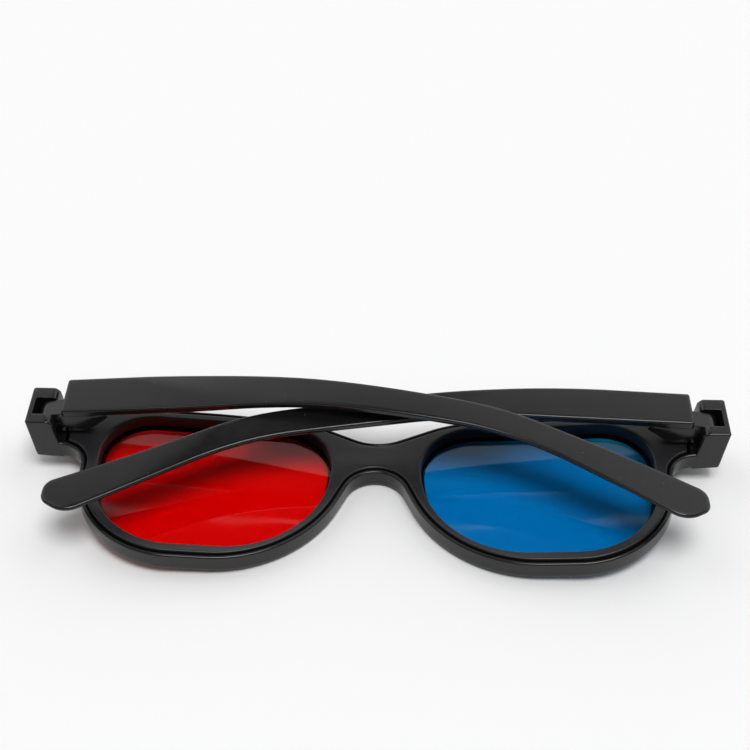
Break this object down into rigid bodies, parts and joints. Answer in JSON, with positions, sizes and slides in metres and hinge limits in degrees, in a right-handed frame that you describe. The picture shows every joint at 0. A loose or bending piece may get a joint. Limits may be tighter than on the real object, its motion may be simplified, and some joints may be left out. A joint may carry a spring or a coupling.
{
  "type": "3d glasses",
  "caption": "Folding plastic 3D glasses: wrapped front and rear frame clamping a red and a cyan film lens, with snap-in temples that fold over the rear.",
  "frame": {"origin": "on the table under the middle of the front, which lies face down with the temples folded over it", "axes": "+X across the face to the cyan lens, +Y up the face as worn, +Z from the front towards the wearer"},
  "size_m": [0.148, 0.0412, 0.0166],
  "materials": {
    "frame_plastic": "moulded gloss black",
    "rear_plastic": "moulded satin black",
    "temple_plastic": "moulded fine satin black",
    "red_film": "clear tinted film",
    "cyan_film": "clear tinted film"
  },
  "bodies": {
    "front": {"front_frame": "frame_plastic", "rear_frame": "rear_plastic", "red_lens": "red_film", "cyan_lens": "cyan_film"},
    "left_arm": {"left_temple": "temple_plastic"},
    "right_arm": {"right_temple": "temple_plastic"}
  },
  "joints": [
    {"name": "left_hinge", "type": "hinge", "parent": "front", "child": "left_arm", "pos_m": [-0.0698, 0.0132, 0.0104], "axis": [0, -1, 0], "range_deg": [0, 88.3]},
    {"name": "right_hinge", "type": "hinge", "parent": "front", "child": "right_arm", "pos_m": [0.0698, 0.0132, 0.0104], "axis": [0, 1, 0], "range_deg": [0, 90]}
  ]
}
